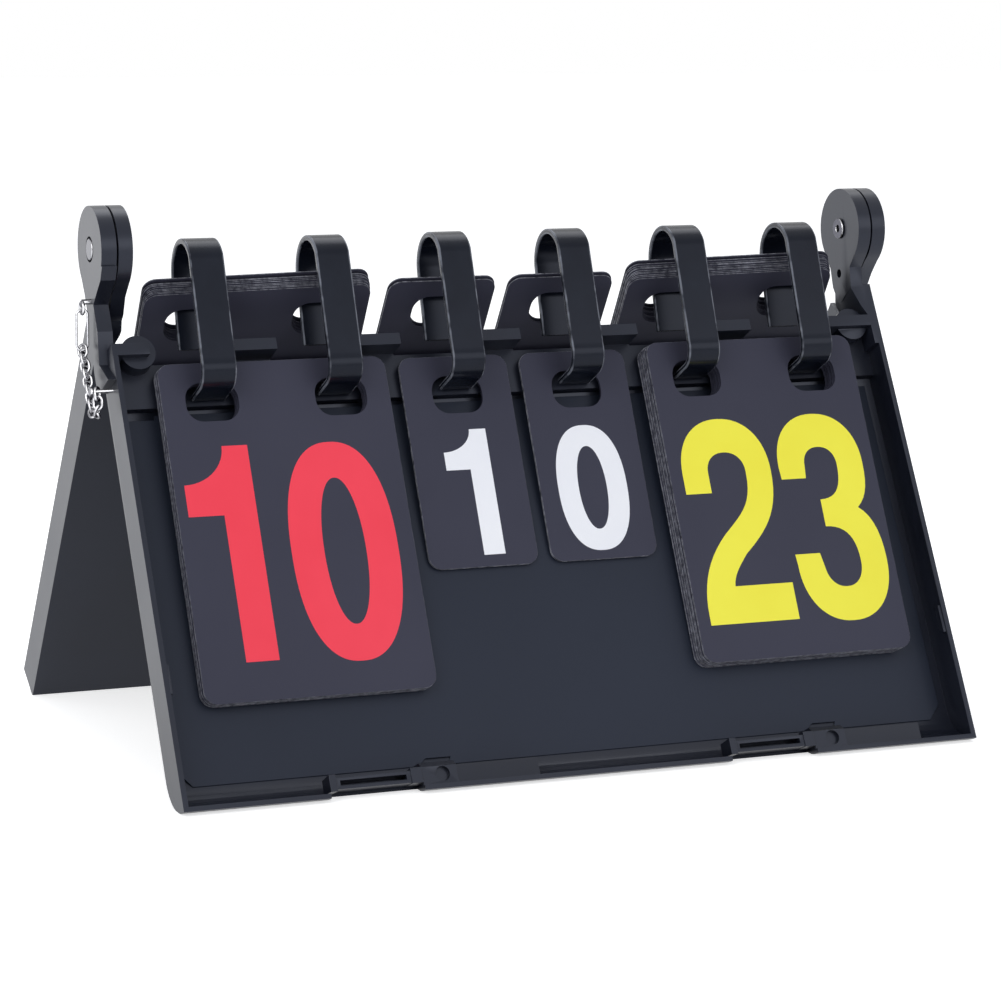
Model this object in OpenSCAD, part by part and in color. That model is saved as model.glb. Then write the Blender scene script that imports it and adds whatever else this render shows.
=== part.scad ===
// Folding tabletop flip scoreboard: two hinged trays, six card rings and eight stacks of number cards.
// Frame: X to the viewer's right, Y away from the viewer, Z up; the origin is on the table, below the middle
// of the whole outline.
// Each tray is drawn with v measured down its slope from the hinge and w out of its open face.

/* [Trays] */
// Width of each tray over its side walls
case_w = 385; // [384:0.5:386]
// Depth of each tray from rim to back
tray_depth = 19.2; // [19:0.1:19.4]
// Distance from the hinge axis to a tray's lower edge
tray_len = 259.5; // [258:0.5:261]
// Thickness of the side walls
wall = 2.4; // [2.2:0.1:2.6]
// Lean of the front tray from the vertical, in degrees
lean_front = 29.3; // [29:0.1:29.6]

/* [Rings] */
// Distance between neighbouring rings
ring_pitch = 59.7; // [59.4:0.1:60]
// Width of the ring strap
strap_w = 16; // [15:0.5:17]
// Thickness of the ring strap
strap_t = 2.5; // [2.3:0.1:2.6]

/* [Cards] */
// Width of a large card
big_w = 108; // [106:0.5:110]
// Height of a large card
big_h = 156.5; // [150:0.5:158]
// Width of a small card
small_w = 53.4; // [52:0.2:55]
// Height of a small card
small_h = 101; // [98:0.5:104]
// Corner radius of the cards
card_r = 6; // [4:0.5:7]

/* [Hidden] */
$fn = 64;
rim = -2;
back = rim - tray_depth;
floor_w = -19;
header_w = -14;
header_v = 45;
header_end = 72;
foot_r = tray_depth;
foot_v = tray_len - foot_r;
front_sink = 0.2;
rear_sink = 0.6;
half = case_w / 2;
pivot_h = foot_v * cos(lean_front) - rim * sin(lean_front) + foot_r - front_sink;
rear_reach = sqrt(tray_len * tray_len + back * back);
lean_rear = acos((pivot_h + rear_sink) / rear_reach) + atan(-back / tray_len);
head_out = 0.3;
pin_out = 7.8;
middle_x = (pin_out - head_out) / 2;
middle_y = (tray_len * (sin(lean_front) - sin(lean_rear)) + rim * (cos(lean_front) - cos(lean_rear))) / 2;

ear_r = 19.5;
ear_out = half + 3.9;
ear_mid = ear_out - 7;
ear_in = 181.9;
ear_in_end = 188.5;
rivet_r = 3;
rivet_hole = 3.05;
head_r = 4.8;
tip_v = 19.5;
tip_w = -10.2;
tip_r = 2.1;
latch_u = [-126.2, 66];
latch_w = 43.4;

row_shift = 0.9;
front_u = [-118.5, -29.5, 30.5, 120.5];
rear_u = [-119, -29.5, 30.5, 120];
hole_w = 24.6;
hole_h = 18;
hole_r = 6;
hole_gap = 61;

arc_v = 13.8;
arc_w = 1.5;
arc_r = 15.8;
bend_v = 60;
bend_w = 0.5;
bend_r = 10;
foot_top = 56;
foot_face = -12.4;
screw_v = 63;

front_top = 54.7;
front_back = -11.2;
front_lean = 2.4;
small_lean = 3.6;
front_hole = 9.5;

rear_top = [12.6, 10.6, 10.6, 12];
rear_tilt = [1.4, 0, 0, 1.4];
rear_inner = -17.4;
rear_shear = 0.85;
rear_hole = 9.2;

chain_x = -ear_out - 4.4;
chain_from = [-3.3, -45];
chain_dir = -122;
chain_hang = 28;
chain_bend = 5;
chain_turn = 160;
link_r = 2.1;
link_straight = 1.6;
link_wire = 0.65;
clasp_wire = 0.55;
link_pitch = 3.8;
link_count = 13;
chain_end = (link_count - 1) * link_pitch + 1.2;

case_colour = [0.07, 0.08, 0.1];
card_colour = [0.16, 0.16, 0.18];
steel_colour = [0.75, 0.75, 0.76];

function ring_u(i) = (i - 3.5) * ring_pitch + row_shift;

// Places drawing done in (u, -w, -v) on the front tray's slope.
module on_front() {
    translate([middle_x, middle_y, pivot_h]) rotate([-lean_front, 0, 0]) children();
}

// The same for the rear tray, turned half way round so both trays share one moulding.
module on_rear() {
    translate([middle_x, middle_y, pivot_h]) rotate([lean_rear, 0, 0]) rotate([0, 0, 180]) children();
}

// Rear slope with u still running to the viewer's right.
module on_rear_cards() {
    translate([middle_x, middle_y, pivot_h]) rotate([lean_rear, 0, 0]) mirror([0, 1, 0]) children();
}

// A (w, v) section drawn out along u.
module run(from, to) {
    translate([from, 0, 0]) rotate([90, 0, 90]) linear_extrude(to - from) rotate(180) children();
}

// A (u, v) outline drawn out along w.
module plate(from, to) {
    translate([0, -from, 0]) rotate([90, 0, 0]) linear_extrude(to - from) mirror([0, 1]) children();
}

// A disc or pin along u, centred on (v, w).
module across(from, to, v, w, r) {
    translate([from, -w, -v]) rotate([0, 90, 0]) cylinder(h = to - from, r = r);
}

module both_sides() {
    children();
    mirror([1, 0, 0]) children();
}

module ground_cut() {
    translate([-half - 30, -250, -20]) cube([case_w + 60, 500, 20]);
}

// Section of a tray's outside, with the rounded lower back edge it stands on.
module tray_outline() {
    translate([back, header_v]) square([tray_depth, foot_v - header_v]);
    intersection() {
        translate([rim, foot_v]) circle(r = foot_r, $fn = 128);
        translate([back, foot_v - 0.5]) square([tray_depth, foot_r + 1]);
    }
}

module square_outline() {
    translate([back, header_v]) square([tray_depth, tray_len - header_v]);
}

module cavity(v_from) {
    translate([floor_w, v_from]) square([20, foot_v - v_from]);
    intersection() {
        translate([rim, foot_v]) circle(r = -floor_w + rim, $fn = 128);
        translate([floor_w, foot_v - 0.5]) square([20, 30]);
    }
    translate([rim - 0.1, foot_v - 0.5]) square([5, foot_r - 1.7]);
}

// Outer ear: disc, neck and the arm that meets the side wall.
module outer_ear() {
    difference() {
        union() {
            across(-ear_out, -ear_mid, 0, 0, ear_r);
            run(-ear_out, -ear_mid) polygon([[-19.3, 0], [-17.6, 14.2], [-17.8, 27], [back, 50], [back, 60],
                [-19, 62], [rim, 62], [-12, 51], [-7, 37], [-7, 24], [1, 21.4], [9, 19.2], [14.6, 14.8]]);
        }
        across(-ear_out - 1, -ear_mid + 1, 0, 0, rivet_hole);
        across(-ear_out - 1, -ear_out + 1.6, 0, 0, 5.8);
    }
}

// Inner ear: disc with a tail that grows into the arm on the inside of the wall.
module inner_ear() {
    difference() {
        union() {
            across(ear_in, ear_in_end, 0, 0, ear_r);
            run(ear_in, ear_in_end) polygon([[-19.3, 2], [-17.2, 14], [-19, 23], [-17.5, 31], [-15.8, 33],
                [-9, 31.5], [-2, 29.8], [0.8, 21], [9, 17.3]]);
        }
        across(ear_in - 1, ear_in_end + 1, 0, 0, rivet_hole);
        across(ear_in - 1, ear_in_end + 1, tip_v, tip_w, tip_r);
    }
    intersection() {
        run(ear_in, half - wall) polygon([[rim, 29], [-9, 24], [-17, 24], [back, 33], [back, 50], [rim, 50]]);
        plate(back - 1, 0) polygon([[ear_in, 22], [ear_in_end, 22], [ear_in_end, 47], [185, 40], [ear_in, 31]]);
    }
    run(ear_in_end - 0.5, half) polygon([[rim, 29], [-8, 28], [-18, 46], [-18, 60], [rim, 60]]);
}

// Raised catches on the side walls' inner faces.
module catches() {
    both_sides() run(half - wall - 1.2, half - wall + 0.1)
        polygon([[-3, 194], [-3, 207], [-5, 207], [-6.4, 205], [-6.4, 196], [-5, 194]]);
}

module latch_cut(u) {
    plate(-12, 1) translate([u, foot_v + 8.5]) square([latch_w, 20]);
}

// Hook block beside each latch, and the filled length of lip after it.
module lip_blocks(u) {
    difference() {
        run(u + latch_w, u + 60) polygon([[-17, 246], [-6, 246.5], [-3.5, 249], [-3.5, 258.4], [-14, 254.6]]);
        plate(-5.5, 1) translate([u + 53, 252.6]) circle(r = 3.4);
    }
    run(u + 60, u + 99) polygon([[-17, 247.5], [-5, 248.5], [-4.4, 249.5], [-4.4, 258.3], [-14, 254.6]]);
}

// One moulded tray: floor, walls, ears; the header bar and its notches are on the front one only.
module tray(with_header) {
    difference() {
        union() {
            run(-half, half) if (with_header) tray_outline(); else square_outline();
            outer_ear();
        }
        run(-half + wall, half - wall) if (with_header) {
            cavity(header_end);
            translate([header_w, 50.5]) square([20, 22]);
        } else {
            translate([floor_w, 40]) square([20, tray_len - 42.4]);
            translate([back - 1, 40]) square([20, 15]);
        }
        if (with_header) for (i = [1 : 6])
            plate(back - 1, 1) translate([ring_u(i) - 27, 44]) square([38, 7.3]);
        for (u = latch_u) latch_cut(u);
    }
    for (u = latch_u) lip_blocks(u);
    inner_ear();
    catches();
    if (with_header) both_sides() corner_post();
}

// Round post in each upper corner of the tray.
module corner_post() {
    translate([-179.5, 0, -48]) rotate([90, 0, 0]) translate([0, 0, back + 0.5]) cylinder(h = 14.7, r = 8);
}

module front_tray() {
    color(case_colour) difference() {
        on_front() difference() {
            tray(true);
            across(-ear_out - 1, -ear_out + 4, tip_v + 1.5, tip_w, 1.25);
            for (i = [1 : 6]) {
                translate([ring_u(i), 0, -screw_v]) rotate([-90, 0, 0]) cylinder(h = 30, r = 1.5);
                translate([ring_u(i), -back - 1.8, -screw_v]) rotate([-90, 0, 0]) cylinder(h = 5, r = 3.2);
            }
        }
        ground_cut();
    }
}

module rear_tray() {
    color(case_colour) difference() {
        on_rear() tray(false);
        ground_cut();
    }
}

// Thin panel laid on the tray's floor, with clipped lower corners.
module panel_shape(top) {
    polygon([[-186, top], [186, top], [186, 238], [179, 246], [-181, 246], [-186, 240]]);
}

module front_floor_panel() {
    color(case_colour) on_front() intersection() {
        run(-half, half) polygon([[floor_w, foot_v], [-18.34, 245], [-18, 245], [-18, 74], [floor_w, 74]]);
        plate(floor_w - 1, floor_w + 2) difference() {
            panel_shape(73);
            both_sides_flat() translate([-191, 40]) square([18, 36]);
            for (u = latch_u) translate([u, 0]) polygon([[45, 248], [52, 241.6], [64, 241.6], [61, 248]]);
        }
    }
}

module both_sides_flat() {
    children();
    mirror([1, 0]) children();
}

module rear_floor_panel() {
    color(case_colour) on_rear() plate(floor_w, floor_w + 0.6) panel_shape(76);
}

// Snap latch in the lower lip: a slotted tongue beside a hook block.
module latch(u) {
    difference() {
        union() {
            run(u + 0.2, u + latch_w - 0.2) polygon([[-11.8, 250.2], [-3, 250.2], [-3, 255.6], [-11.8, 254.9]]);
            run(u + 0.2, u + 3.4) polygon([[-11.8, 249], [-2, 249], [-2, 256.6], [-11.8, 255.6]]);
            run(u + 38, u + latch_w - 0.2) polygon([[-11.8, 249], [-2.4, 249], [-2.4, 256], [-11.8, 255.2]]);
        }
        plate(-10, 0) translate([u + 5.4, 251.7]) square([30.6, 2.3]);
    }
}

module latch_left() {
    color(case_colour) on_front() latch(latch_u[0]);
}

module latch_right() {
    color(case_colour) on_front() latch(latch_u[1]);
}

module rear_latch_left() {
    color(case_colour) on_rear() latch(latch_u[1]);
}

module rear_latch_right() {
    color(case_colour) on_rear() latch(latch_u[0]);
}

// Riveted hinge pins; the head sits in the outer ear's recess.
module rivet() {
    across(-ear_out - head_out, -ear_out + 1.3, 0, 0, head_r);
    across(-ear_out, -ear_in, 0, 0, rivet_r);
    across(-ear_in + 0.2, -ear_in + 1.2, 0, 0, 4.9);
    across(-ear_in - 0.1, -ear_in + 0.3, 0, 0, rivet_r);
}

module hinge_rivet_left() {
    color(steel_colour) on_front() rivet();
}

module hinge_rivet_right() {
    color(steel_colour) on_front() difference() {
        mirror([1, 0, 0]) rivet();
        across(ear_in - 2, ear_in + 5, 0, 0, 1.7);
    }
}

// Section of one ring: free rear end, arc, front leg, bend and foot.
module ring_section() {
    difference() {
        translate([arc_w, arc_v]) circle(r = arc_r);
        translate([arc_w, arc_v]) circle(r = arc_r - strap_t);
        translate([arc_w, arc_v]) polygon([[-20, -4.2], [0, 0], [20, 3.02], [20, 30], [-20, 30]]);
    }
    polygon([[-11.27, 9.89], [-11.52, 11.06], [-18.17, 42.7], [-20.61, 42.18], [-13.96, 10.55],
        [-13.68, 9.37]]);
    polygon([[17.25, 14.96], [17.12, 16.16], [10.52, 60], [10.2, 61], [8.3, 61], [7.98, 60], [14.65, 15.78],
        [14.83, 14.6]]);
    intersection() {
        difference() {
            translate([bend_w, bend_v]) circle(r = bend_r);
            translate([bend_w, bend_v]) circle(r = bend_r - strap_t);
        }
        translate([bend_w, bend_v]) square([12, 12]);
    }
    translate([foot_face - 0.5, bend_v + bend_r - strap_t]) square([bend_w - foot_face + 0.5, strap_t]);
    translate([header_w, foot_top]) square([foot_face - header_w, bend_v + bend_r - foot_top]);
}

module card_ring(i) {
    color(case_colour) on_front() difference() {
        run(ring_u(i) - strap_w / 2, ring_u(i) + strap_w / 2) ring_section();
        translate([ring_u(i), -header_w - 1, -screw_v]) rotate([-90, 0, 0]) cylinder(h = 5, r = 1.5);
    }
}

module ring_screws() {
    color(steel_colour) on_front() for (i = [1 : 6]) {
        translate([ring_u(i), -header_w - 0.8, -screw_v]) rotate([-90, 0, 0]) cylinder(h = 6.7, r = 1.45);
        translate([ring_u(i), -back - 1.7, -screw_v]) rotate([-90, 0, 0]) cylinder(h = 1.5, r = 3);
    }
}

module rounded(w, h, r) {
    translate([r, 0]) square([w - 2 * r, h]);
    translate([0, r]) square([w, h - 2 * r]);
    for (x = [r, w - r]) for (y = [r, h - r]) translate([x, y]) circle(r = r);
}

// Flat card outline with its top edge at v = 0; holes are given by their offsets from the middle.
module card_shape(w, h, hole_top, holes) {
    difference() {
        translate([-w / 2, 0]) rounded(w, h, card_r);
        for (x = holes) translate([x - hole_w / 2, hole_top]) rounded(hole_w, hole_h, hole_r);
    }
}

module big_card(t, hole_top) {
    plate(-t, 0) card_shape(big_w, big_h, hole_top, [-hole_gap / 2, hole_gap / 2]);
}

module small_card(t, hole_top) {
    plate(-t, 0) card_shape(small_w, small_h, hole_top, [0]);
}

// Front cards hang from their display card's top edge and lean in to the floor.
module in_front_cards(u, face, lean) {
    on_front() translate([u, -face, -front_top]) rotate([lean, 0, 0]) children();
}

module front_big(u, count, t, fan) {
    face = front_back + 1 + count * t;
    color(card_colour) in_front_cards(u, face, front_lean) for (i = [0 : count - 1])
        translate([-fan * (i + 1) / count, 1 + i * t, 0]) big_card(t, front_hole);
}

module front_small(u) {
    color(card_colour) in_front_cards(u, front_back + 1.6, small_lean)
        translate([0, 0.85, 0]) small_card(0.75, front_hole);
}

module front_stack_left() {
    front_big(front_u[0], 3, 1.65, 0.6);
}

module front_stack_right() {
    front_big(front_u[3], 4, 1.75, 1.5);
}

module front_stack_small_left() {
    front_small(front_u[1]);
}

module front_stack_small_right() {
    front_small(front_u[2]);
}

module front_card_left() {
    color(card_colour) in_front_cards(front_u[0], front_back + 5.95, front_lean) big_card(0.6, front_hole);
}

module front_card_right() {
    color(card_colour) in_front_cards(front_u[3], front_back + 8, front_lean) big_card(0.6, front_hole);
}

module front_card_small_left() {
    color(card_colour) in_front_cards(front_u[1], front_back + 1.6, small_lean) small_card(0.5, front_hole);
}

module front_card_small_right() {
    color(card_colour) in_front_cards(front_u[2], front_back + 1.6, small_lean) small_card(0.5, front_hole);
}

// Rear layers step up the slope, the outer ones higher, as they follow the ring's rear leg; the large stacks
// hang a little askew. Stack k counts from the viewer's left.
module rear_layer(k, offset) {
    on_rear_cards() translate([rear_u[k], -rear_inner - offset, -rear_top[k] + rear_shear * offset])
        rotate([0, -rear_tilt[k], 0]) children();
}

module rear_big(k, t) {
    color(card_colour) for (i = [0 : 2])
        rear_layer(k, i * t) translate([0, -t, 0]) big_card(t, rear_hole);
}

module rear_small(k) {
    color(card_colour) rear_layer(k, 0) translate([0, -0.8, 0]) small_card(0.8, rear_hole);
}

module rear_stack_left() {
    rear_big(0, 1.6);
}

module rear_stack_right() {
    rear_big(3, 1.9);
}

module rear_stack_small_left() {
    rear_small(1);
}

module rear_stack_small_right() {
    rear_small(2);
}

module rear_card_left() {
    color(card_colour) rear_layer(0, 5.6) translate([0, -0.6, 0]) big_card(0.6, rear_hole);
}

module rear_card_right() {
    color(card_colour) rear_layer(3, 6.5) translate([0, -0.6, 0]) big_card(0.6, rear_hole);
}

module rear_card_small_left() {
    color(card_colour) rear_layer(1, 1.3) translate([0, -0.6, 0]) small_card(0.6, rear_hole);
}

module rear_card_small_right() {
    color(card_colour) rear_layer(2, 1.3) translate([0, -0.6, 0]) small_card(0.6, rear_hole);
}

module loop_wire(r, wire) {
    rotate_extrude() translate([r, 0]) circle(r = wire, $fn = 24);
}

// Oval loop of round wire standing in the x-z plane.
module long_loop(r, straight, wire) {
    for (s = [0, 1]) mirror([0, 0, s]) translate([0, 0, straight / 2]) rotate([90, 0, 0])
        rotate_extrude(angle = 180) translate([r, 0]) circle(r = wire, $fn = 24);
    for (x = [-r, r]) translate([x, 0, -straight / 2]) cylinder(h = straight, r = wire, $fn = 24);
}

// Eye pinned in the front tray's left ear tip, for the security chain.
module chain_eyelet() {
    color(steel_colour) on_front() {
        across(-ear_out - 4.2, -ear_out + 3.6, tip_v + 1.5, tip_w, 1.2);
        translate([chain_x, -tip_w, -tip_v - 4.4]) rotate([0, 90, 0]) loop_wire(2.6, 0.8);
    }
}

// Long clasp hanging in the eye.
module chain_clasp() {
    color(steel_colour) translate([middle_x + chain_x, middle_y - 2.8, pivot_h - 35.7]) long_loop(2.6, 13, clasp_wire);
}

// The chain hangs straight, turns below and rises to its end pin; s is the distance along it.
function heading(a) = [cos(a), sin(a)];
function chain_angle(s) = chain_dir - min(max(s - chain_hang, 0) / chain_bend * 180 / PI, chain_turn);
function chain_rise(s) = max(s - chain_hang - chain_bend * chain_turn * PI / 180, 0);
function chain_centre() = chain_from + chain_hang * heading(chain_dir) + chain_bend * heading(chain_dir - 90);
function chain_point(s) = s < chain_hang ? chain_from + s * heading(chain_dir)
    : chain_centre() + chain_bend * heading(chain_angle(s) + 90) + chain_rise(s) * heading(chain_angle(s));

module at_chain(s) {
    translate([middle_x, middle_y + chain_point(s)[0], pivot_h + chain_point(s)[1]]) children();
}

module tether_chain() {
    color(steel_colour) for (i = [0 : link_count - 1])
        at_chain(i * link_pitch) translate([chain_x, 0, 0])
            rotate([chain_angle(i * link_pitch) - 90, 0, 0]) rotate([0, 0, i % 2 * 90 + 45])
                long_loop(link_r, link_straight, link_wire);
}

// Headed pin on the side wall that holds the last link.
module chain_pin() {
    color(steel_colour) at_chain(chain_end) rotate([0, -90, 0]) {
        translate([0, 0, half]) cylinder(h = -chain_x - half + 3, r = 0.7);
        translate([0, 0, ear_out + pin_out - 0.8]) cylinder(h = 0.8, r = 2);
    }
}

module card_ring_1() { card_ring(1); }
module card_ring_2() { card_ring(2); }
module card_ring_3() { card_ring(3); }
module card_ring_4() { card_ring(4); }
module card_ring_5() { card_ring(5); }
module card_ring_6() { card_ring(6); }

front_tray();
front_floor_panel();
rear_tray();
rear_floor_panel();
latch_left();
latch_right();
rear_latch_left();
rear_latch_right();
hinge_rivet_left();
hinge_rivet_right();
card_ring_1();
card_ring_2();
card_ring_3();
card_ring_4();
card_ring_5();
card_ring_6();
ring_screws();
front_stack_left();
front_stack_small_left();
front_stack_small_right();
front_stack_right();
front_card_left();
front_card_small_left();
front_card_small_right();
front_card_right();
rear_stack_left();
rear_stack_small_left();
rear_stack_small_right();
rear_stack_right();
rear_card_left();
rear_card_small_left();
rear_card_small_right();
rear_card_right();
chain_eyelet();
chain_clasp();
tether_chain();
chain_pin();
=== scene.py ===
import math
import bpy
import bmesh
import numpy as np
from mathutils import Matrix, Vector
from mathutils.geometry import tessellate_polygon


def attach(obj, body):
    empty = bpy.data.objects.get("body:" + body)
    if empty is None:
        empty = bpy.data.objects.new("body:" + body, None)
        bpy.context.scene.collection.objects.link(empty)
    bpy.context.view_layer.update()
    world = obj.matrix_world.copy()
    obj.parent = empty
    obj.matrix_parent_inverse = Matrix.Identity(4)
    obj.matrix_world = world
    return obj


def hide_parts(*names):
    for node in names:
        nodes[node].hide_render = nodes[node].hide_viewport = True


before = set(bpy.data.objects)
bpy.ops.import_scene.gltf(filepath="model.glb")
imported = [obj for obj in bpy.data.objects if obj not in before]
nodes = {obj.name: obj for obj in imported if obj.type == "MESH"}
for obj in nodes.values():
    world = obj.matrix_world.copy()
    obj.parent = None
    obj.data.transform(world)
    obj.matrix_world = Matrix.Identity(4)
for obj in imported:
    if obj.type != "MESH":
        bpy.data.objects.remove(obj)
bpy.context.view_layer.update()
scene = bpy.context.scene
mm = 0.001


# The scoreboard's slopes: u runs across, v down the slope from the hinge, w out of the open face; midX and
# midY (mm) carry the drawing's middle to the frame's origin.
slopes = {"front": math.radians(29.3), "rear": math.radians(32.553605), "pivot": 229.537, "midX": 3.75,
          "midY": -6.34878}


def onSlope(side, u, v, w):  # (u, v, w) in mm to metres in the frame
    a = slopes[side]
    s = -1.0 if side == "front" else 1.0
    y = s * (v * math.sin(a) + w * math.cos(a)) + slopes["midY"]
    z = slopes["pivot"] - v * math.cos(a) + w * math.sin(a)
    return np.stack(np.broadcast_arrays(u + slopes["midX"], y, z), -1) * mm


def onCard(card, x, d, n):  # x across the card, d down it, n out of its face
    lean = math.radians(card["lean"])
    v = card["top"] + d * math.cos(lean) + n * math.sin(lean)
    w = card["face"] - d * math.sin(lean) + n * math.cos(lean)
    return onSlope(card["side"], card["u"] + x, v, w)


# Shader helpers.
def newMaterial(name):
    m = bpy.data.materials.new(name)
    m.use_nodes = True
    t = m.node_tree
    return m, t, t.nodes["Principled BSDF"]


def addNode(t, kind, **values):
    n = t.nodes.new(kind)
    for k, v in values.items():
        if hasattr(n, k):
            setattr(n, k, v)
        else:
            n.inputs[k].default_value = v
    return n


def ramp(t, source, stops):
    r = t.nodes.new("ShaderNodeValToRGB")
    r.color_ramp.elements[0].position = stops[0][0]
    r.color_ramp.elements[0].color = (*stops[0][1], 1)
    r.color_ramp.elements[1].position = stops[-1][0]
    r.color_ramp.elements[1].color = (*stops[-1][1], 1)
    for p, c in stops[1:-1]:
        r.color_ramp.elements.new(p).color = (*c, 1)
    t.links.new(source, r.inputs[0])
    return r.outputs[0]


def noiseOn(t, coord, scale, detail=2.0):
    n = addNode(t, "ShaderNodeTexNoise", Scale=scale, Detail=detail, Roughness=0.6)
    t.links.new(coord.outputs["Object"], n.inputs["Vector"])
    return n.outputs[0]


# Moulded and rolled plastics: cloudy tone, fine grain in the bump and a roughness that wanders.
def plastic(name, look):
    m, t, bsdf = newMaterial(name)
    coord = addNode(t, "ShaderNodeTexCoord")
    cloud = noiseOn(t, coord, look["cloud"], 3.0)
    t.links.new(ramp(t, cloud, [(0.3, look["low"]), (0.7, look["high"])]), bsdf.inputs["Base Color"])
    bump = addNode(t, "ShaderNodeBump", Strength=look["bump"], Distance=0.0002)
    t.links.new(noiseOn(t, coord, look["grain"]), bump.inputs["Height"])
    t.links.new(bump.outputs[0], bsdf.inputs["Normal"])
    rough = addNode(t, "ShaderNodeMapRange")
    rough.inputs["To Min"].default_value = look["rough"] - 0.05
    rough.inputs["To Max"].default_value = look["rough"] + 0.06
    t.links.new(cloud, rough.inputs["Value"])
    t.links.new(rough.outputs[0], bsdf.inputs["Roughness"])
    bsdf.inputs["Specular IOR Level"].default_value = look["gloss"]
    bsdf.inputs["Specular Tint"].default_value = (0.78, 0.83, 1.0, 1)
    return m


plasticLooks = {
    "caseSatin": {"low": (0.006, 0.007, 0.012), "high": (0.010, 0.012, 0.020), "rough": 0.32, "grain": 900.0,
                  "bump": 0.05, "cloud": 14.0, "gloss": 0.42},
    "floorSatin": {"low": (0.009, 0.012, 0.021), "high": (0.013, 0.017, 0.029), "rough": 0.42, "grain": 800.0,
                   "bump": 0.04, "cloud": 5.0, "gloss": 0.3},
    "cardFace": {"low": (0.031, 0.031, 0.049), "high": (0.039, 0.039, 0.060), "rough": 0.5, "grain": 1100.0,
                 "bump": 0.03, "cloud": 9.0, "gloss": 0.28},
    # Card sheet edges: a painted highlight, pale patches over a dark edge colour.
    "sheetEdgeHighlight": {"low": (0.012, 0.012, 0.018), "high": (0.30, 0.305, 0.35), "rough": 0.5, "grain": 2200.0,
                  "bump": 0.08, "cloud": 420.0, "gloss": 0.45},
    "inkRed": {"low": (0.93, 0.048, 0.078), "high": (0.97, 0.058, 0.092), "rough": 0.42, "grain": 1400.0,
               "bump": 0.02, "cloud": 20.0, "gloss": 0.35},
    "inkYellow": {"low": (0.95, 0.87, 0.055), "high": (0.98, 0.92, 0.07), "rough": 0.42, "grain": 1400.0,
                  "bump": 0.02, "cloud": 20.0, "gloss": 0.35},
    "inkWhite": {"low": (0.90, 0.91, 0.97), "high": (0.95, 0.96, 1.0), "rough": 0.42, "grain": 1400.0,
                 "bump": 0.02, "cloud": 20.0, "gloss": 0.35},
}
looks = {name: plastic(name, values) for name, values in plasticLooks.items()}


# Nickelled steel: fine scratches over a bright metal, with painted shade that darkens the base colour towards
# its outline, where the wire turns away from the view.
def steel(name):
    m, t, bsdf = newMaterial(name)
    coord = addNode(t, "ShaderNodeTexCoord")
    tone = ramp(t, noiseOn(t, coord, 900.0), [(0.3, (0.60, 0.60, 0.63)), (0.7, (0.86, 0.86, 0.88))])
    # Painted shade: the Facing ramp darkens the base colour towards the wire's outline.
    turned = addNode(t, "ShaderNodeLayerWeight", Blend=0.5)
    paintedRimShade = ramp(t, turned.outputs["Facing"], [(0.12, (1, 1, 1)), (0.5, (0.09, 0.09, 0.11))])
    mix = addNode(t, "ShaderNodeMix", data_type="RGBA", blend_type="MULTIPLY")
    mix.inputs[0].default_value = 1.0
    t.links.new(tone, mix.inputs[6])
    t.links.new(paintedRimShade, mix.inputs[7])
    t.links.new(mix.outputs[2], bsdf.inputs["Base Color"])
    bump = addNode(t, "ShaderNodeBump", Strength=0.06, Distance=0.0001)
    t.links.new(noiseOn(t, coord, 2600.0), bump.inputs["Height"])
    t.links.new(bump.outputs[0], bsdf.inputs["Normal"])
    bsdf.inputs["Metallic"].default_value = 1.0
    bsdf.inputs["Roughness"].default_value = 0.22
    return m


looks["steelBright"] = steel("steelBright")


# Ring plastic with a painted highlight: paler edges where a rim attribute of the strap is near 1, broken up
# by a noise.
ringLook = {"low": (0.003, 0.004, 0.008), "high": (0.006, 0.008, 0.014), "rough": 0.24, "grain": 1300.0,
            "bump": 0.03, "cloud": 40.0, "gloss": 0.22, "edgeHighlight": (0.16, 0.17, 0.20)}


def paintedHighlightRing():
    m = plastic("ringPaintedHighlight", ringLook)
    t = m.node_tree
    bsdf = t.nodes["Principled BSDF"]
    body = bsdf.inputs["Base Color"].links[0].from_socket
    rim = addNode(t, "ShaderNodeAttribute", attribute_name="rim")
    coord = addNode(t, "ShaderNodeTexCoord")
    highlightBreakup = addNode(t, "ShaderNodeMath", operation="MULTIPLY")
    t.links.new(rim.outputs["Fac"], highlightBreakup.inputs[0])
    t.links.new(ramp(t, noiseOn(t, coord, 120.0), [(0.35, (0.45,) * 3), (0.6, (1, 1, 1))]), highlightBreakup.inputs[1])
    amount = ramp(t, highlightBreakup.outputs[0], [(0.4, (0, 0, 0)), (0.95, (1, 1, 1))])
    mix = addNode(t, "ShaderNodeMix", data_type="RGBA")
    t.links.new(amount, mix.inputs[0])
    t.links.new(body, mix.inputs[6])
    # The paler colour is a painted highlight along the strap's edges.
    mix.inputs[7].default_value = (*ringLook["edgeHighlight"], 1)
    t.links.new(mix.outputs[2], bsdf.inputs["Base Color"])
    return m


looks["ringPaintedHighlight"] = paintedHighlightRing()


def meshObject(name, verts, faces, material, body, smooth=True):
    mesh = bpy.data.meshes.new(name)
    mesh.from_pydata(verts.tolist(), [], faces)
    mesh.validate()
    mesh.update()
    mesh.materials.append(material)
    if smooth:
        mesh.shade_smooth()
    obj = bpy.data.objects.new(name, mesh)
    scene.collection.objects.link(obj)
    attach(obj, body)
    return obj


def gridFaces(rows, cols, closeRows, closeCols):  # quads of a grid whose point (i, j) has index i * cols + j
    i = np.arange(rows if closeRows else rows - 1)[:, None]
    j = np.arange(cols if closeCols else cols - 1)[None, :]
    a = i * cols + j
    b = i * cols + (j + 1) % cols
    c = (i + 1) % rows * cols + (j + 1) % cols
    d = (i + 1) % rows * cols + j
    return np.stack([a, b, c, d], -1).reshape(-1, 4).tolist()


def outwards(obj):  # recalculates the normals of one closed mesh
    bm = bmesh.new()
    bm.from_mesh(obj.data)
    bmesh.ops.recalc_face_normals(bm, faces=bm.faces)
    bm.to_mesh(obj.data)
    bm.free()


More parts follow.
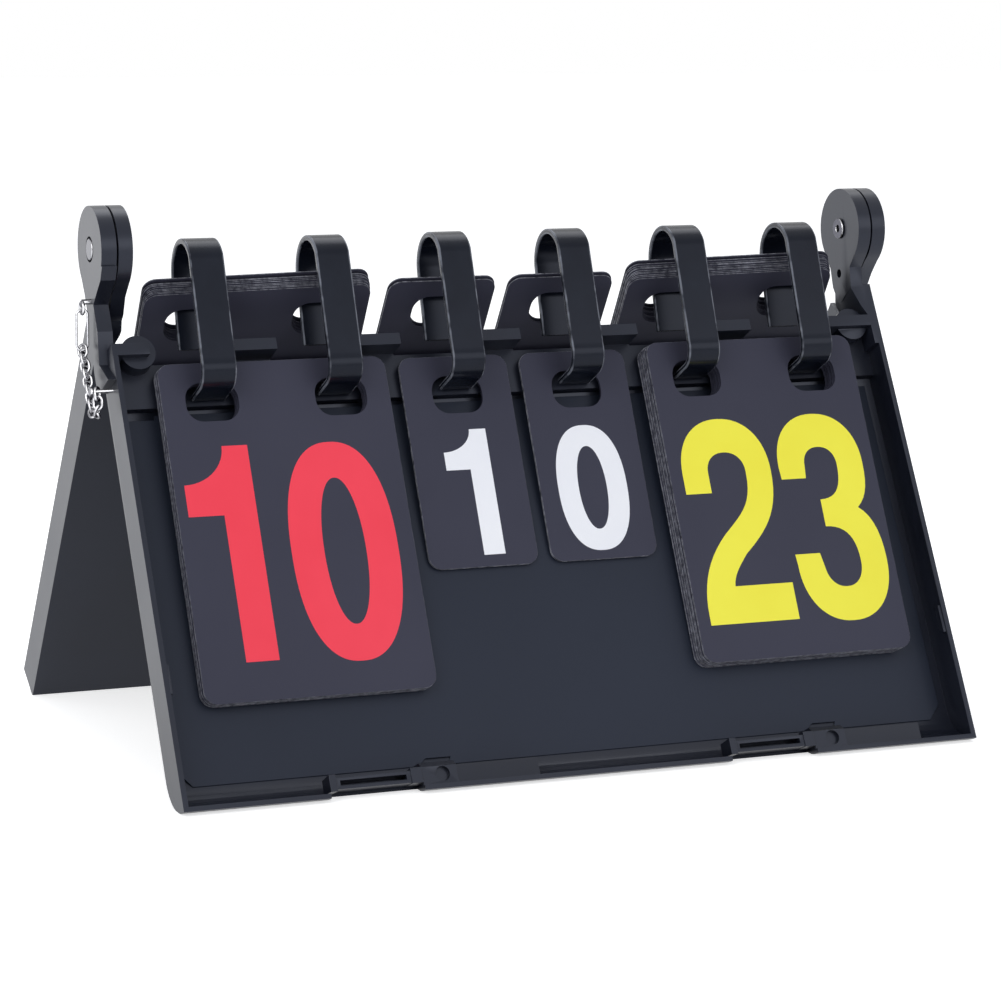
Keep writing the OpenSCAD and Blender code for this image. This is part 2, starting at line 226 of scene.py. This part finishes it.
# A CAD node copied, its flat facets joined and its edges rounded by a narrow bevel.
softEdges = {"case": 0.35, "panel": 0.25, "latch": 0.25, "rivet": 0.3, "join": 2e-6, "flatWithin": 0.6,
             "bevelFrom": 32, "sharpFrom": 34, "segments": 2}


def softened(name, width, material, body):
    source = nodes[name]
    mesh = source.data.copy()
    bm = bmesh.new()
    bm.from_mesh(mesh)
    bmesh.ops.remove_doubles(bm, verts=bm.verts, dist=softEdges["join"])
    flat = math.radians(softEdges["flatWithin"])
    bmesh.ops.dissolve_limit(bm, angle_limit=flat, verts=bm.verts, edges=bm.edges)
    bm.to_mesh(mesh)
    bm.free()
    mesh.materials.clear()
    mesh.materials.append(material)
    obj = bpy.data.objects.new(name + "Soft", mesh)
    scene.collection.objects.link(obj)
    bevel = obj.modifiers.new("edges", "BEVEL")
    bevel.width = width * mm
    bevel.segments = softEdges["segments"]
    bevel.limit_method = "ANGLE"
    bevel.angle_limit = math.radians(softEdges["bevelFrom"])
    bevel.use_clamp_overlap = True
    mesh.shade_smooth()
    mesh.set_sharp_from_angle(angle=math.radians(softEdges["sharpFrom"]))
    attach(obj, body)
    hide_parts(name)


for name in ("front_tray", "latch_left", "latch_right"):
    softened(name, softEdges["case" if "tray" in name else "latch"], looks["caseSatin"], "front_case")
for name in ("rear_tray", "rear_latch_left", "rear_latch_right"):
    softened(name, softEdges["case" if "tray" in name else "latch"], looks["caseSatin"], "rear_case")
softened("front_floor_panel", softEdges["panel"], looks["floorSatin"], "front_case")
softened("rear_floor_panel", softEdges["panel"], looks["floorSatin"], "rear_case")
for name in ("hinge_rivet_left", "hinge_rivet_right"):
    softened(name, softEdges["rivet"], looks["steelBright"], "front_case")
print("cases softened")


# Card rings: the strap's centre line is carried down as a rounded flat profile.
# highlightReach is how far the painted edge highlight reaches in from each side of the strap.
ring = {"pitch": 59.7, "shift": 0.9, "width": 16.0, "thick": 2.5, "round": 0.55, "arc": (1.5, 13.8, 14.55),
        "rear": [(-12.739, 10.806), (-19.39, 42.44)], "turn": (191.87, 351.43),
        "bend": (0.5, 60.0, 8.75), "foot": -12.4, "footEnd": 68.75, "highlightReach": 1.1}


def ringLine():
    # Centre line as (w, v): rear leg up, arc over the top, front leg down, quarter bend, foot in.
    aw, av, ar = ring["arc"]
    bw, bv, br = ring["bend"]
    rearLow, rearHigh = np.array(ring["rear"][1]), np.array(ring["rear"][0])
    rear = np.linspace(rearLow, rearHigh, 18)[:-1]
    turn = np.radians(np.linspace(*ring["turn"], 49))
    arc = np.stack([aw + ar * np.cos(turn), av + ar * np.sin(turn)], -1)
    leg = np.linspace(arc[-1], (bw + br, bv), 30)[1:-1]
    corner = np.radians(np.linspace(0, 90, 19))
    bend = np.stack([bw + br * np.cos(corner), bv + br * np.sin(corner)], -1)
    foot = np.linspace(bend[-1], (ring["foot"], ring["footEnd"]), 10)[1:]
    return np.concatenate([rear, arc, leg, bend, foot])


def flatProfile(width, thick, r, steps=5):
    # Rectangle with quarter-circle corners as (across, through) offsets; rim is 1 on the corners, 0 between,
    # and marks where the painted edge highlight goes.
    q = np.radians(np.linspace(0, 90, steps))
    inset = width / 2 - ring["highlightReach"]
    between = {0: [(inset, thick / 2), (-inset, thick / 2)], 1: [(-width / 2, 0.0)],
               2: [(-inset, -thick / 2), (inset, -thick / 2)], 3: [(width / 2, 0.0)]}
    parts, rim = [], []
    for k, (sx, sy) in enumerate([(1, 1), (-1, 1), (-1, -1), (1, -1)]):
        a = q + k * math.pi / 2
        across = sx * (width / 2 - r) + r * np.cos(a)
        parts += [np.stack([across, sy * (thick / 2 - r) + r * np.sin(a)], -1), np.array(between[k])]
        rim += [1.0] * steps + [0.0] * len(between[k])
    return np.concatenate(parts), np.array(rim)


def cappedSweep(name, points, material, body):  # points[i, j] is place i along the path, j round the profile
    rows, cols = points.shape[:2]
    verts = np.concatenate([points.reshape(-1, 3), points[:1].mean(1), points[-1:].mean(1)])
    faces = gridFaces(rows, cols, False, True)
    k = np.arange(cols)
    first = np.stack([np.full(cols, rows * cols), (k + 1) % cols, k], -1)
    base = (rows - 1) * cols
    last = np.stack([np.full(cols, rows * cols + 1), base + k, base + (k + 1) % cols], -1)
    obj = meshObject(name, verts, faces + first.tolist() + last.tolist(), material, body)
    outwards(obj)
    obj.data.set_sharp_from_angle(angle=math.radians(50))
    return obj


def ringStrap(i):
    line = ringLine()
    along = np.gradient(line, axis=0)
    along /= np.linalg.norm(along, axis=1)[:, None]
    side = np.stack([along[:, 1], -along[:, 0]], -1)
    profile, rim = flatProfile(ring["width"], ring["thick"], ring["round"])
    u = (i - 3.5) * ring["pitch"] + ring["shift"] + profile[None, :, 0]
    w = line[:, None, 0] + side[:, None, 0] * profile[None, :, 1]
    v = line[:, None, 1] + side[:, None, 1] * profile[None, :, 1]
    obj = cappedSweep("ringStrap%d" % i, onSlope("front", u, v, w), looks["ringPaintedHighlight"], "front_case")
    # The rim attribute places the ring material's painted edge highlight.
    edgeHighlight = obj.data.attributes.new("rim", "FLOAT", "POINT")
    edgeHighlight.data.foreach_set("value", np.concatenate([np.tile(rim, len(line)), [0.0, 0.0]]))
    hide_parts("card_ring_%d" % i)


for i in range(1, 7):
    ringStrap(i)
print("rings strung")


# Plates cut to an outline: loops are rows of (x, d) outlines, lifted to heights n.
def cutPlate(name, place, loopsAt, heights, material, body, edge=None):
    # loopsAt(inset) gives the outline loops; the side wall joins one loop per height, the caps are
    # tessellated, and edge is the material of the outline's own wall.
    rings = [loopsAt(inset) for _, inset in heights]
    verts, faces, caps, start = [], [], [], 0
    for k in range(len(rings[0])):
        count = len(rings[0][k])
        pts = np.concatenate([place(loop[k][:, 0], loop[k][:, 1], n) for loop, (n, _) in zip(rings, heights)])
        verts.append(pts)
        faces += (np.array(gridFaces(len(heights), count, False, True)) + start).tolist()
        caps.append((start, count))
        start += len(pts)
    outerWall = len(rings[0][0]) * (len(heights) - 1)
    for level in (0, len(heights) - 1):
        flat = [[Vector((x, d, 0)) for x, d in loop] for loop in rings[level]]
        index = np.concatenate([s + level * c + np.arange(c) for s, c in caps])
        faces += [[int(index[q]) for q in tri] for tri in tessellate_polygon(flat)]
    obj = meshObject(name, np.concatenate(verts), faces, material, body, smooth=False)
    if edge:
        obj.data.materials.append(edge)
        slot = np.zeros(len(obj.data.polygons), dtype=np.int32)
        slot[:outerWall] = 1
        obj.data.polygons.foreach_set("material_index", slot)
    outwards(obj)
    return obj


# Number cards: rounded rectangles with rounded slots, in stacks of thin sheets.
cardSizes = {"big": {"w": 108.0, "h": 156.5, "slots": (-30.5, 30.5)},
             "small": {"w": 53.4, "h": 101.0, "slots": (0.0,)}, "corner": 6.0, "slotW": 24.6, "slotH": 18.0,
             "slotCorner": 7.5}


def roundedLoop(cx, cd, w, h, r, grow, steps=9):  # rectangle with corner arcs of radius r, grown by grow
    parts = []
    for k, (sx, sd) in enumerate([(1, 1), (-1, 1), (-1, -1), (1, -1)]):
        a = np.radians(np.linspace(0, 90, steps)) + k * math.pi / 2
        parts.append(np.stack([cx + sx * (w / 2 - r) + (r + grow) * np.cos(a),
                               cd + sd * (h / 2 - r) + (r + grow) * np.sin(a)], -1))
    return np.concatenate(parts)


def cardLoops(kind, slotTop, shift=(0.0, 0.0, 0.0)):
    # An inset shrinks the outline and widens the slots; shift moves and turns the whole sheet.
    size = cardSizes[kind]
    dx, dd, turn = shift

    def moved(p):
        c, s = math.cos(turn), math.sin(turn)
        return np.stack([p[:, 0] * c - p[:, 1] * s + dx, p[:, 0] * s + p[:, 1] * c + dd], -1)

    def loops(inset):
        out = [moved(roundedLoop(0, size["h"] / 2, size["w"], size["h"], cardSizes["corner"], -inset))]
        for x in size["slots"]:
            out.append(moved(roundedLoop(x, slotTop + cardSizes["slotH"] / 2, cardSizes["slotW"],
                                         cardSizes["slotH"], cardSizes["slotCorner"], inset)))
        return out

    return loops


def cardSheet(name, card, kind, slotTop, n0, n1, body, shift=(0.0, 0.0, 0.0), chamfer=0.08):
    heights = [(n0, chamfer), (n0 + chamfer, 0.0), (n1 - chamfer, 0.0), (n1, chamfer)]
    # The sheet's outline wall takes the painted edge highlight.
    return cutPlate(name, lambda x, d, n: onCard(card, x, d, n), cardLoops(kind, slotTop, shift), heights,
                    looks["cardFace"], body, looks["sheetEdgeHighlight"])


cards = {
    "left": {"side": "front", "kind": "big", "u": -118.5, "inkU": -120.0, "top": 54.7, "face": -5.25,
             "lean": 2.4, "deep": 4.95, "count": 9, "fan": 0.6},
    "small_left": {"side": "front", "kind": "small", "u": -29.5, "inkU": -29.5, "top": 54.7,
                   "face": -9.6, "lean": 3.6, "deep": 0.75, "count": 1, "fan": 0.0},
    "small_right": {"side": "front", "kind": "small", "u": 30.5, "inkU": 30.5, "top": 54.7,
                    "face": -9.6, "lean": 3.6, "deep": 0.75, "count": 1, "fan": 0.0},
    "right": {"side": "front", "kind": "big", "u": 120.5, "inkU": 120.0, "top": 54.7, "face": -3.2,
              "lean": 2.4, "deep": 7.0, "count": 13, "fan": 1.5},
}
frontSlot = 9.5
leafRules = {"sheet": 0.6, "first": 1.0, "smallFirst": 0.85, "fill": 0.84,
             "frontWander": (0.28, 0.28, 0.0008), "rearWander": (0.35, 0.3, 0.0008)}
shuffle = np.random.default_rng(23)


def frontCards(key):
    card = cards[key]
    show = cardSheet("showCard_" + key, card, card["kind"], frontSlot, -leafRules["sheet"], 0.0,
                     "front_card_" + key)
    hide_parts("front_card_" + key)
    first = leafRules["first" if card["kind"] == "big" else "smallFirst"]
    gap = card["deep"] / card["count"]
    for k in range(card["count"]):
        high = -first - k * gap
        wander = shuffle.uniform(-1, 1, 3) * leafRules["frontWander"] * (card["count"] > 1)
        shift = (-card["fan"] * (k + 1) / card["count"] + wander[0], wander[1], wander[2])
        leaf = cardSheet("leaf_%s_%02d" % (key, k), card, card["kind"], frontSlot,
                         high - gap * leafRules["fill"], high, "front_stack_" + key, shift)
        if k == 0:
            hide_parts("front_stack_" + key)


for key in cards:
    frontCards(key)

rearCards = {
    "left": {"u": -119.0, "kind": "big", "deep": 4.8, "count": 9, "top": 12.6, "tilt": 1.4, "show": 5.6},
    "small_left": {"u": -29.5, "kind": "small", "deep": 0.8, "count": 1, "top": 10.6, "tilt": 0.0,
                   "show": 1.3},
    "small_right": {"u": 30.5, "kind": "small", "deep": 0.8, "count": 1, "top": 10.6, "tilt": 0.0,
                    "show": 1.3},
    "right": {"u": 120.0, "kind": "big", "deep": 5.7, "count": 10, "top": 12.0, "tilt": 1.4, "show": 6.5},
}
rearRules = {"shear": 0.85, "slot": 9.2, "sheet": 0.6, "inner": -17.4}


def rearPlace(key, offset):
    card = rearCards[key]
    return {"side": "rear", "u": card["u"], "top": card["top"] - rearRules["shear"] * offset,
            "face": rearRules["inner"] + offset, "lean": 0.0}


def rearStack(key):
    card = rearCards[key]
    show = cardSheet("backCard_" + key, rearPlace(key, card["show"]), card["kind"], rearRules["slot"],
                     0.0, rearRules["sheet"], "rear_card_" + key, (0.0, 0.0, -math.radians(card["tilt"])))
    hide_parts("rear_card_" + key)
    gap = card["deep"] / card["count"]
    for k in range(card["count"]):
        wander = shuffle.uniform(-1, 1, 3) * leafRules["rearWander"] * (card["count"] > 1)
        wander[2] -= math.radians(card["tilt"])
        leaf = cardSheet("backLeaf_%s_%02d" % (key, k), rearPlace(key, k * gap), card["kind"],
                         rearRules["slot"], 0.0, gap * leafRules["fill"], "rear_stack_" + key, tuple(wander))
        if k == 0:
            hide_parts("rear_stack_" + key)


for key in rearCards:
    rearStack(key)
print("cards stacked")


# Printed digits, in mm on their card: x across from the middle, d down from the top edge.
ink = {"high": 0.07, "low": -0.02, "step": 0.03}


def digitPlate(name, key, loops, colour):
    card = dict(cards[key], u=cards[key]["inkU"])
    heights = [(ink["low"], 0.0), (ink["high"] - ink["step"], 0.0), (ink["high"], 0.0)]
    obj = cutPlate(name, lambda x, d, n: onCard(card, x, d, n), lambda inset: loops, heights,
                   looks[colour], "front_card_" + key)


def zeroLoops(cx, top, base, halfW, bar, capBar):
    # Outer and inner rings are superellipses of power 2.35 and 2.1.
    a = np.linspace(0, 2 * math.pi, 96, endpoint=False)
    out = []
    for hw, hh, p in ((halfW, (base - top) / 2, 2.35), (halfW - bar, (base - top) / 2 - capBar, 2.1)):
        x = cx + hw * np.sign(np.cos(a)) * np.abs(np.cos(a)) ** (2 / p)
        d = (top + base) / 2 + hh * np.sign(np.sin(a)) * np.abs(np.sin(a)) ** (2 / p)
        out.append(np.stack([x, d], -1))
    return out


def oneLoops(stemL, stemR, flagL, top, base, flagTop, flagLow):
    # Stem with a flag whose upper edge is a quarter of an ellipse.
    rise = np.radians(np.linspace(90, 0, 14))
    reach, climb = stemL + (stemR - stemL) * 0.22 - flagL, flagTop - top
    curve = np.stack([flagL + reach * np.cos(rise), flagTop - climb * (1 - np.sin(rise))], -1)
    rest = np.array([[stemR, top], [stemR, base], [stemL, base], [stemL, flagLow], [flagL, flagLow]])
    return [np.concatenate([curve, rest])]


def arcPoints(cx, cd, rx, rd, start, stop, steps, power=2.0):
    # Superellipse arc; the angle runs clockwise on the card from the right-hand side.
    a = np.radians(np.linspace(start, stop, steps))
    c, s = np.cos(a), np.sin(a)
    return np.stack([cx + rx * np.sign(c) * np.abs(c) ** (2 / power),
                     cd + rd * np.sign(s) * np.abs(s) ** (2 / power)], -1)


def blendCurve(p0, p1, p2, p3, steps):  # cubic Bezier from p0 to p3
    t = np.linspace(0, 1, steps)[:, None]
    p0, p1, p2, p3 = (np.array(p, float) for p in (p0, p1, p2, p3))
    return (1 - t) ** 3 * p0 + 3 * (1 - t) ** 2 * t * p1 + 3 * (1 - t) * t * t * p2 + t ** 3 * p3


twoShape = {"left": -47.0, "right": -1.0, "bowlEnd": 75.6, "bowl": 66.0, "bar": 13.2, "top": 39.4,
            "base": 139.0, "foot": 121.2, "capBar": 16.6}


def twoLoops():
    t = twoShape
    cx, hw = (t["left"] + t["right"]) / 2, (t["right"] - t["left"]) / 2
    outer = arcPoints(cx, t["bowl"], hw, t["bowl"] - t["top"], 180, 360, 33, 2.2)
    sweep = blendCurve((t["right"], t["bowl"]), (t["right"], 86), (t["right"] - 8, 95), (-22, 106), 14)
    heel = blendCurve((-22, 106), (-27, 112), (-30.5, 116), (-31, t["foot"]), 8)
    base = np.array([[t["right"] - 0.3, t["foot"]], [t["right"] - 0.3, t["base"]], [t["left"], t["base"]]])
    back = blendCurve((t["left"], 134), (t["left"], 120), (-43, 108), (-31, 96), 12)
    inner = blendCurve((-31, 96), (-20, 86), (-14.4, 82), (t["right"] - t["bar"], t["bowl"] + 1), 12)
    bowl = arcPoints(cx, t["bowl"], hw - t["bar"], t["bowl"] - t["top"] - t["capBar"], 360, 180, 25, 2.2)
    end = np.array([[t["left"] + t["bar"], t["bowlEnd"]], [t["left"], t["bowlEnd"]]])
    return [np.concatenate([outer, sweep[1:], heel[1:], base, back, inner[1:-1], bowl, end])]


threeShape = {"left": 3.4, "upR": 48.2, "lowR": 50.6, "waist": (41.0, 86.8), "bar": 13.8, "top": 39.2,
              "base": 141.6, "upEnd": 71.0, "lowEnd": 108.0, "upper": 65.0, "lower": 113.0, "capBar": 16.6,
              "tabTop": 81.9, "tabLow": 95.2, "tabX": 22.0}


def threeLoops():
    t = threeShape
    cu, hu = (t["left"] + t["upR"]) / 2, (t["upR"] - t["left"]) / 2
    cl, hl = (t["left"] + t["lowR"]) / 2, (t["lowR"] - t["left"]) / 2
    outerUp = arcPoints(cu, t["upper"], hu, t["upper"] - t["top"], 180, 360, 33, 2.2)
    toWaist = blendCurve((t["upR"], t["upper"]), (t["upR"], 76), (46.5, 82), t["waist"], 8)
    fromWaist = blendCurve(t["waist"], (47.5, 91), (t["lowR"], 100), (t["lowR"], t["lower"]), 8)
    outerLow = arcPoints(cl, t["lower"], hl, t["base"] - t["lower"], 0, 180, 33, 2.2)
    lowEnd = np.array([[t["left"] - 0.4, t["lowEnd"]], [t["left"] + 12.6, t["lowEnd"]]])
    innerLow = arcPoints(cl, t["lower"], hl - t["bar"], t["base"] - t["lower"] - t["capBar"], 180, 0, 25, 2.2)
    toTab = blendCurve((t["lowR"] - t["bar"], t["lower"]), (36.8, 101), (32, 95.2),
                       (t["tabX"], t["tabLow"]), 12)
    fromTab = blendCurve((t["tabX"], t["tabTop"]), (31, 81.9), (34.4, 76),
                         (t["upR"] - t["bar"], t["upper"]), 12)
    innerUp = arcPoints(cu, t["upper"], hu - t["bar"], t["upper"] - t["top"] - t["capBar"], 360, 180, 25, 2.2)
    upEnd = np.array([[t["left"] + 13.2, t["upEnd"]], [t["left"] + 0.4, t["upEnd"]]])
    return [np.concatenate([outerUp, toWaist[1:], fromWaist[1:], outerLow[1:], lowEnd, innerLow[1:],
                            toTab[1:], fromTab, innerUp[1:], upEnd])]


digitPlate("redOne", "left", oneLoops(-31.3, -16.0, -47.7, 39.4, 138.8, 56.8, 71.5), "inkRed")
digitPlate("redZero", "left", zeroLoops(22.3, 40.0, 142.0, 25.2, 15.3, 16.9), "inkRed")
digitPlate("yellowTwo", "right", twoLoops(), "inkYellow")
digitPlate("yellowThree", "right", threeLoops(), "inkYellow")
digitPlate("whiteOne", "small_left", oneLoops(0.4, 10.8, -11.4, 35.6, 95.5, 46.2, 54.8), "inkWhite")
digitPlate("whiteZero", "small_right", zeroLoops(-0.4, 36.4, 96.9, 17.4, 10.3, 10.2), "inkWhite")
print("digits printed")


# Security chain: every link is a round wire carried along an oval path.
chain = {"x": -200.8, "from": (-3.3, -45.0), "dir": -122.0, "hang": 28.0, "bend": 5.0, "turn": 160.0,
         "r": 2.1, "straight": 1.6, "wire": 0.65, "pitch": 3.8, "count": 13, "sides": 14}


def heading(a):
    return np.array([math.cos(a), math.sin(a)])


def hungAt(y, z):  # place beside the left ear, y behind the hinge axis and z above it
    return np.array([chain["x"] + slopes["midX"], y + slopes["midY"], slopes["pivot"] + z])


def chainAt(s):  # place (y, z) below the pivot and heading at distance s along the chain
    start = math.radians(chain["dir"])
    bent = min(max(s - chain["hang"], 0) / chain["bend"], math.radians(chain["turn"]))
    a = start - bent
    if s < chain["hang"]:
        return np.array(chain["from"]) + s * heading(a), a
    centre = np.array(chain["from"]) + chain["hang"] * heading(start)
    centre = centre + chain["bend"] * heading(start - math.pi / 2)
    rise = max(s - chain["hang"] - chain["bend"] * math.radians(chain["turn"]), 0)
    return centre + chain["bend"] * heading(a + math.pi / 2) + rise * heading(a), a


def ovalTube(name, centre, axis, side, r, straight, wire, node=None, steps=40):
    # The oval runs along axis and across side; sides is the number of points round the wire.
    t = np.linspace(0, 2 * math.pi, steps, endpoint=False)
    lift = np.sin(t) * r + np.sign(np.sin(t)) * straight / 2
    spine = centre + np.cos(t)[:, None] * r * side + lift[:, None] * axis
    radial = np.cos(t)[:, None] * side + np.sin(t)[:, None] * axis
    flat = np.cross(side, axis)
    q = np.linspace(0, 2 * math.pi, chain["sides"], endpoint=False)[None, :, None]
    pts = spine[:, None] + wire * (np.cos(q) * radial[:, None] + np.sin(q) * flat)
    faces = gridFaces(steps, chain["sides"], True, True)
    obj = meshObject(name, pts.reshape(-1, 3) * mm, faces, looks["steelBright"], "front_case")
    outwards(obj)
    if node:
        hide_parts(node)


def chainLink(i):
    (y, z), a = chainAt(i * chain["pitch"])
    axis = np.array([0, math.cos(a), math.sin(a)])
    cross = np.cross(np.array([1.0, 0, 0]), axis)
    roll = math.radians(i % 2 * 90 + 45)
    side = math.cos(roll) * np.array([1.0, 0, 0]) - math.sin(roll) * cross
    centre = hungAt(y, z)
    ovalTube("chainLink%02d" % i, centre, axis, side, chain["r"], chain["straight"], chain["wire"],
             "tether_chain" if i == 0 else None)


for i in range(chain["count"]):
    chainLink(i)
ovalTube("claspLoop", hungAt(-2.8, -35.7), np.array([0, 0, 1.0]), np.array([1.0, 0, 0]), 2.6, 13.0, 0.55,
         "chain_clasp", 64)
for name in ("chain_eyelet", "chain_pin", "ring_screws"):
    nodes[name].data.materials.clear()
    nodes[name].data.materials.append(looks["steelBright"])
print("chain hung")


# White table and backdrop in one sheet; the view sees it lifted to white, the shadow stays.
stageLook = {"paper": 0.86, "lift": 0.62, "reach": 7.0}


def whiteTable():
    m, t, bsdf = newMaterial("paperWhite")
    coord = addNode(t, "ShaderNodeTexCoord")
    paper = stageLook["paper"]
    tone = ramp(t, noiseOn(t, coord, 3.0), [(0.2, (paper - 0.01,) * 3), (0.8, (paper + 0.01,) * 3)])
    t.links.new(tone, bsdf.inputs["Base Color"])
    bsdf.inputs["Roughness"].default_value = 0.9
    bsdf.inputs["Emission Color"].default_value = (1, 1, 1, 1)
    t.links.new(seenRay(t, stageLook["lift"]), bsdf.inputs["Emission Strength"])
    r = stageLook["reach"]
    mesh = bpy.data.meshes.new("tableTop")
    mesh.from_pydata([(-r, -r, 0), (r, -r, 0), (r, r, 0), (-r, r, 0)], [], [(0, 1, 2, 3)])
    floor = bpy.data.objects.new("tableTop", mesh)
    scene.collection.objects.link(floor)
    mesh.materials.append(m)


def seenRay(t, gain):  # gain where the ray is the camera's, a mirror's or a glass's, else 0
    path = addNode(t, "ShaderNodeLightPath")
    first = addNode(t, "ShaderNodeMath", operation="MAXIMUM")
    second = addNode(t, "ShaderNodeMath", operation="MAXIMUM")
    t.links.new(path.outputs["Is Camera Ray"], first.inputs[0])
    t.links.new(path.outputs["Is Glossy Ray"], first.inputs[1])
    t.links.new(first.outputs[0], second.inputs[0])
    t.links.new(path.outputs["Is Transmission Ray"], second.inputs[1])
    scaled = addNode(t, "ShaderNodeMath", operation="MULTIPLY")
    t.links.new(second.outputs[0], scaled.inputs[0])
    scaled.inputs[1].default_value = gain
    return scaled.outputs[0]


whiteTable()

sky = {"lit": (0.92, 0.95, 1.0), "level": 0.5}


def studioWorld():
    world = bpy.data.worlds.new("studio")
    scene.world = world
    world.use_nodes = True
    t = world.node_tree
    t.nodes.clear()
    out = t.nodes.new("ShaderNodeOutputWorld")
    lit = addNode(t, "ShaderNodeBackground", Color=(*sky["lit"], 1), Strength=sky["level"])
    white = addNode(t, "ShaderNodeBackground", Color=(1, 1, 1, 1), Strength=1.0)
    mix = t.nodes.new("ShaderNodeMixShader")
    t.links.new(seenRay(t, 1.0), mix.inputs[0])
    t.links.new(lit.outputs[0], mix.inputs[1])
    t.links.new(white.outputs[0], mix.inputs[2])
    t.links.new(mix.outputs[0], out.inputs[0])


studioWorld()

lamps = {
    "keyLeft": {"place": (-1.3, -1.1, 1.3), "aim": (0, 0, 0.1), "size": (1.2, 1.2), "watts": 12.0},
    "fillFront": {"place": (0.7, -2.0, 0.9), "aim": (0, 0, 0.1), "size": (1.6, 1.0), "watts": 8.0},
    "topBack": {"place": (0.3, 0.9, 1.8), "aim": (0, 0, 0.1), "size": (1.6, 1.0), "watts": 11.0},
    "sidePanel": {"place": (-0.95, 1.25, 0.45), "aim": (-0.15, 0, 0.12), "size": (1.5, 0.9), "watts": 3.0},
}
for name, lamp in lamps.items():
    data = bpy.data.lights.new(name, "AREA")
    data.shape = "RECTANGLE"
    data.size, data.size_y = lamp["size"]
    data.energy = lamp["watts"]
    obj = bpy.data.objects.new(name, data)
    scene.collection.objects.link(obj)
    obj.location = lamp["place"]
    obj.rotation_euler = (Vector(lamp["aim"]) - Vector(lamp["place"])).to_track_quat("-Z", "Y").to_euler()

# Camera worked out from the photo's straight edges; the focal length and centre are in its pixels.
shot = {"yaw": 22.5526, "pitch": 8.1820, "roll": 0.5113, "place": (-0.60183, -1.455187, 0.36874),
        "focal": 3363.09, "centre": (-13.956, -79.402), "frame": 1001, "sensor": 36.0}


def cameraFromPhoto():
    y, p, r = (math.radians(shot[k]) for k in ("yaw", "pitch", "roll"))
    right = Vector((math.cos(y), -math.sin(y), 0))
    ahead = Vector((math.sin(y), math.cos(y), 0))
    forward = ahead * math.cos(p) - Vector((0, 0, 1)) * math.sin(p)
    up = ahead * math.sin(p) + Vector((0, 0, 1)) * math.cos(p)
    across = right * math.cos(r) + up * math.sin(r)
    over = -right * math.sin(r) + up * math.cos(r)
    data = bpy.data.cameras.new("photoCamera")
    data.sensor_width = shot["sensor"]
    data.lens = shot["focal"] / shot["frame"] * shot["sensor"]
    data.shift_x = -shot["centre"][0] / shot["frame"]
    data.shift_y = shot["centre"][1] / shot["frame"]
    data.clip_end = 50
    cam = bpy.data.objects.new("photoCamera", data)
    scene.collection.objects.link(cam)
    turned = Matrix((across, over, -forward)).transposed().to_4x4()
    cam.matrix_world = Matrix.Translation(Vector(shot["place"])) @ turned
    scene.camera = cam


cameraFromPhoto()
scene.view_settings.view_transform = "Standard"
print("camera and lights")

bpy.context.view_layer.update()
